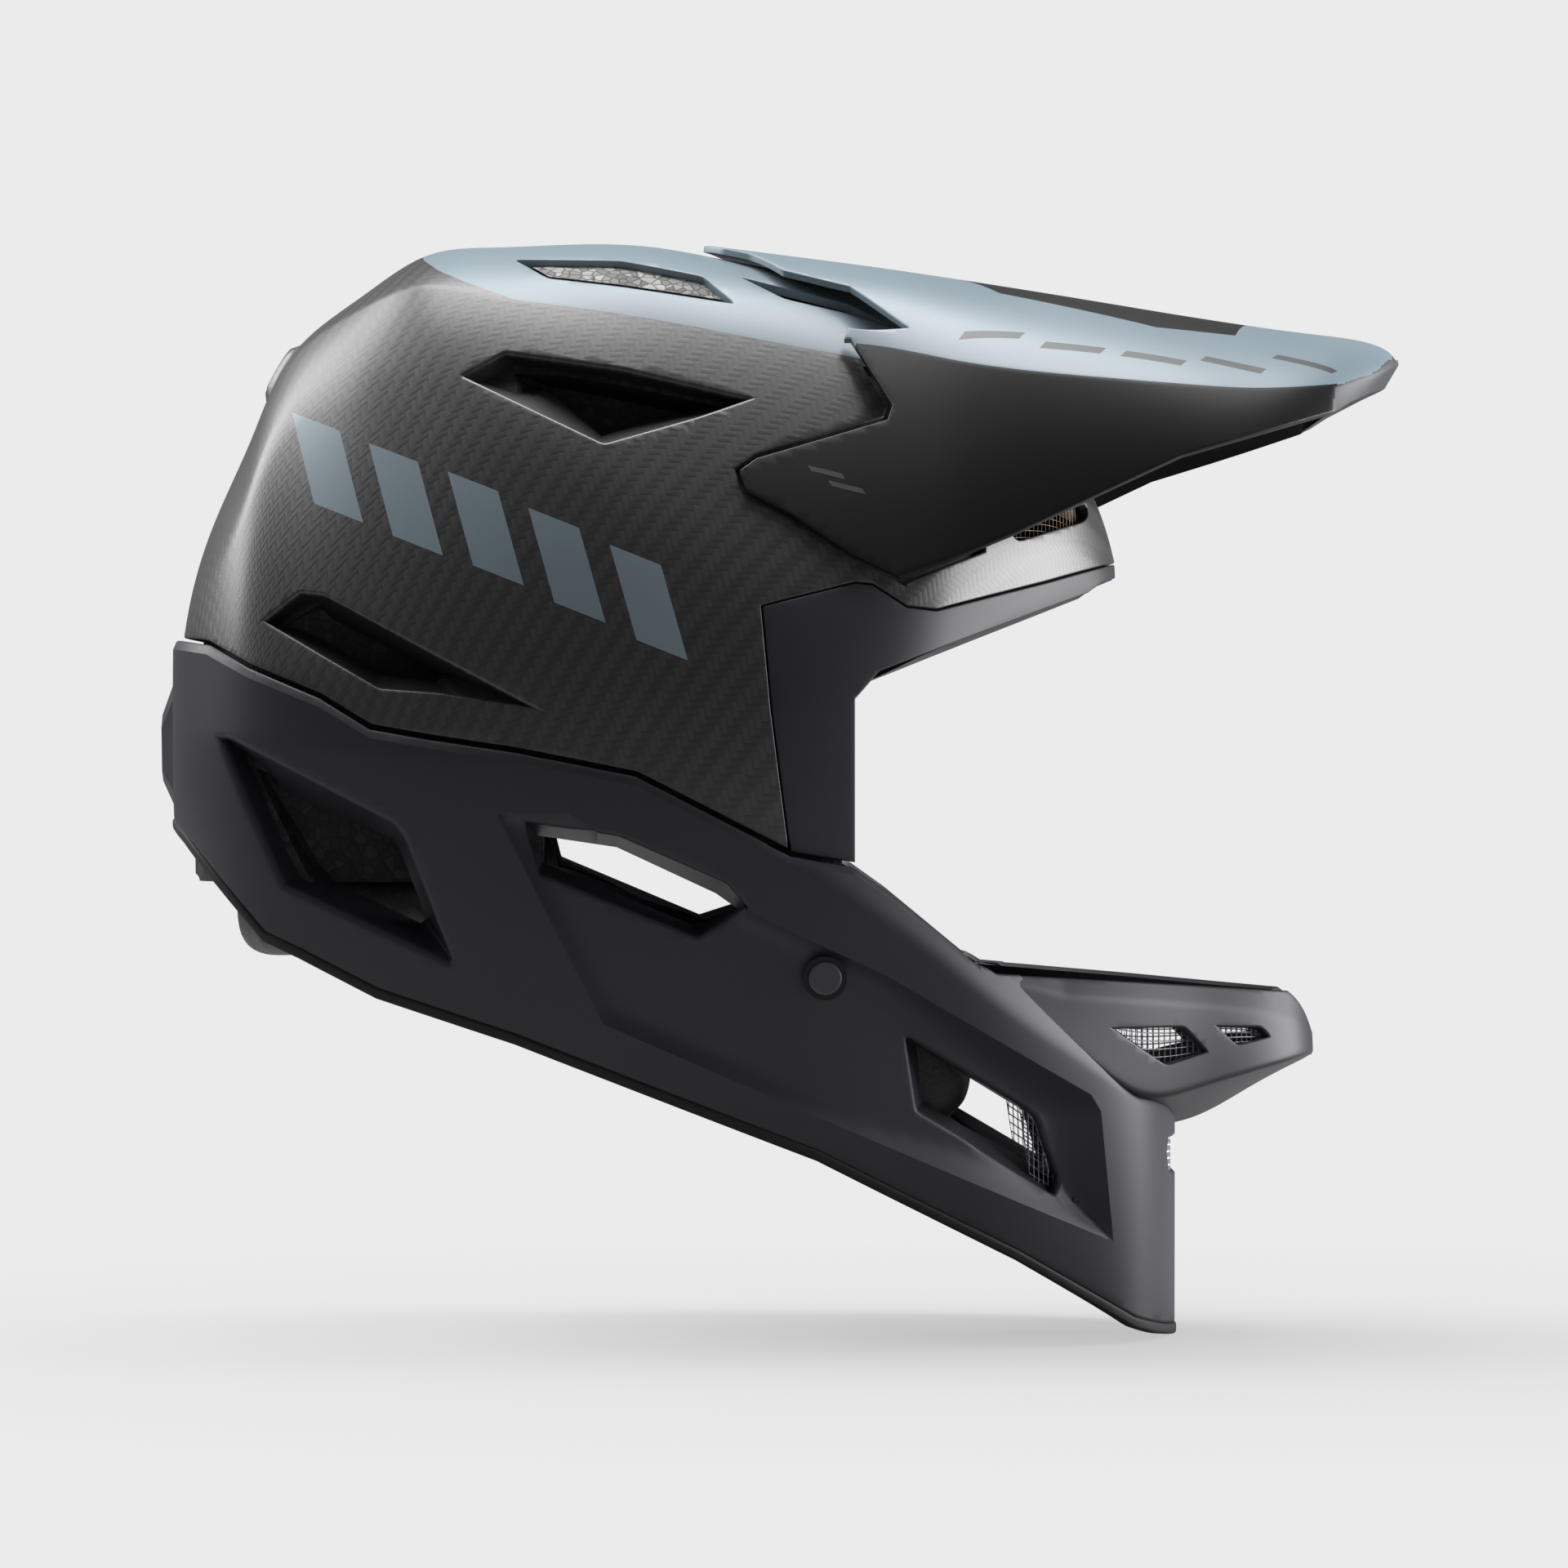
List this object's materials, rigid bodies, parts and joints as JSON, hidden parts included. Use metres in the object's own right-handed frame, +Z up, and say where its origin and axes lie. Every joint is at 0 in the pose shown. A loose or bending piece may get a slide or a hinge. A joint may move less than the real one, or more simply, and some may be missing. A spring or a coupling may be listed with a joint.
{
  "type": "full face helmet",
  "caption": "Full face sport helmet with a woven carbon shell, a moulded chin guard, a tilting visor, padding and a chin strap with a sliding buckle.",
  "frame": {"origin": "middle of the head cavity, level with the eyes, in the attitude the helmet is worn", "axes": "+X forward, +Y to the rider's left, +Z up"},
  "size_m": [0.3762, 0.2432, 0.3322],
  "materials": {
    "woven_carbon": "woven carbon fibre under satin lacquer, with slate blue paint on the crown",
    "matte_black_plastic": "moulded, fine texture, matt",
    "painted_visor": "slate blue paint on top, matt black wings",
    "black_nylon": "moulded nylon",
    "black_rubber": "soft edging",
    "grey_foam": "expanded polystyrene, beads showing",
    "steel_mesh": "expanded steel mesh",
    "black_padding": "grained cover over foam",
    "grey_padding": "knitted cover over foam",
    "black_webbing": "woven polyester webbing",
    "plated_steel": "zinc plated",
    "grey_cap": "moulded cap, satin"
  },
  "bodies": {
    "shell": {"carbon_shell": "woven_carbon", "eyeport_frame": "matte_black_plastic", "lower_shell": "matte_black_plastic", "pivot_bushes": "black_nylon", "edge_trim": "black_rubber", "rear_centre_panel": "matte_black_plastic", "eps_head_liner": "grey_foam", "eps_cheek_left": "grey_foam", "eps_cheek_right": "grey_foam", "eps_chin_bar": "grey_foam", "chin_guard_mesh": "steel_mesh", "mouth_vent_meshes": "steel_mesh", "brow_vent_mesh": "steel_mesh", "chin_front_mesh": "steel_mesh", "cheek_pad_left": "black_padding", "cheek_pad_right": "black_padding", "brow_pad": "grey_padding", "crown_pad": "grey_padding", "neck_roll": "black_padding", "cheek_pad_snaps": "black_nylon", "strap_right": "black_webbing", "strap_left": "black_webbing", "strap_keeper": "black_rubber", "anchor_plates": "plated_steel", "anchor_rivets": "grey_cap", "anchor_rings": "black_nylon", "buckle_base": "black_nylon"},
    "visor_blade": {"visor": "painted_visor", "visor_pegs": "black_nylon"},
    "buckle_tongue": {"buckle_slider": "black_nylon", "buckle_pull_tab": "black_webbing", "strap_end": "black_webbing"}
  },
  "joints": [
    {"name": "visor_tilt", "type": "hinge", "parent": "shell", "child": "visor_blade", "pos_m": [0.055, 0, 0.074], "axis": [0, 1, 0], "range_deg": [0, 5]},
    {"name": "buckle_slide", "type": "slide", "parent": "shell", "child": "buckle_tongue", "axis": [1, 0, 0], "range_m": [0, 0.012]}
  ]
}
